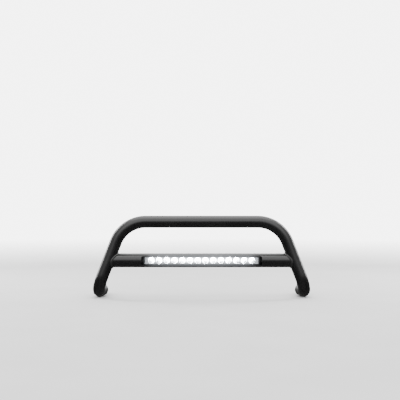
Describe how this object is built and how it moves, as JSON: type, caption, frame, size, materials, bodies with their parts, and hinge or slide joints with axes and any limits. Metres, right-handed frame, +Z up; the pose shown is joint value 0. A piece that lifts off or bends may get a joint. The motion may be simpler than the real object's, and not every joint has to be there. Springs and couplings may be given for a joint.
{
  "type": "front grille guard",
  "caption": "Bent tube hoop guard for a crossover's front, with a cross tube that carries a tilting LED light bar and foot brackets that bolt to the vehicle frame.",
  "frame": {"origin": "middle of the width and of the depth, at the height of the lowest point of the feet", "axes": "-Y is the front, facing away from the vehicle; +X is the vehicle's left; +Z is up; the X = 0 plane is the guard's mirror plane"},
  "size_m": [1.1414, 0.3, 0.4307],
  "materials": {
    "powder_coat": "satin black powder coat, fine orange peel",
    "zinc_steel": "bright zinc plated",
    "black_steel": "black oxide, satin",
    "cast_aluminium": "black powder coated extrusion, matte",
    "reflector": "vacuum metallised, mirror bright",
    "led_board": "white solder mask with lit emitters",
    "circuit_board": "green solder mask",
    "lens": "clear polycarbonate, polished",
    "rubber": "matte black rubber and cable jacket",
    "black_plastic": "fine-grained black nylon"
  },
  "bodies": {
    "guard": {"cable_grommet": "rubber", "cable_saddle": "black_plastic", "connector_plug": "black_plastic", "crossbar_tube": "powder_coat", "hoop_tube": "powder_coat", "left_bracket_screw_inner": "zinc_steel", "left_bracket_screw_outer": "zinc_steel", "left_crossbar_closing_plate": "powder_coat", "left_foot_tab": "powder_coat", "left_frame_bracket": "powder_coat", "left_front_bolt": "zinc_steel", "left_front_lock_washer": "zinc_steel", "left_front_nut": "zinc_steel", "left_front_washer": "zinc_steel", "left_light_bracket": "black_steel", "left_rear_bolt": "zinc_steel", "left_rear_lock_washer": "zinc_steel", "left_rear_nut": "zinc_steel", "left_rear_washer": "zinc_steel", "right_bracket_screw_inner": "zinc_steel", "right_bracket_screw_outer": "zinc_steel", "right_crossbar_closing_plate": "powder_coat", "right_foot_tab": "powder_coat", "right_frame_bracket": "powder_coat", "right_front_bolt": "zinc_steel", "right_front_lock_washer": "zinc_steel", "right_front_nut": "zinc_steel", "right_front_washer": "zinc_steel", "right_light_bracket": "black_steel", "right_rear_bolt": "zinc_steel", "right_rear_lock_washer": "zinc_steel", "right_rear_nut": "zinc_steel", "right_rear_washer": "zinc_steel", "supply_cable": "rubber"},
    "light": {"breather_vent": "black_plastic", "cable_gland": "black_plastic", "driver_board": "circuit_board", "led_board": "led_board", "left_end_gasket": "rubber", "left_end_plate": "cast_aluminium", "left_end_screw_lower": "black_steel", "left_end_screw_upper": "black_steel", "left_pivot_bolt": "black_steel", "left_pivot_spacer": "black_plastic", "left_pivot_washer": "black_steel", "lens": "lens", "lens_gasket": "rubber", "light_cable": "rubber", "light_housing": "cast_aluminium", "reflector_tray": "reflector", "right_end_gasket": "rubber", "right_end_plate": "cast_aluminium", "right_end_screw_lower": "black_steel", "right_end_screw_upper": "black_steel", "right_pivot_bolt": "black_steel", "right_pivot_spacer": "black_plastic", "right_pivot_washer": "black_steel"}
  },
  "joints": [
    {"name": "light_tilt", "type": "hinge", "parent": "guard", "child": "light", "pos_m": [0, -0.1061, 0.198], "axis": [1, 0, 0], "range_deg": [-5, 5]}
  ]
}
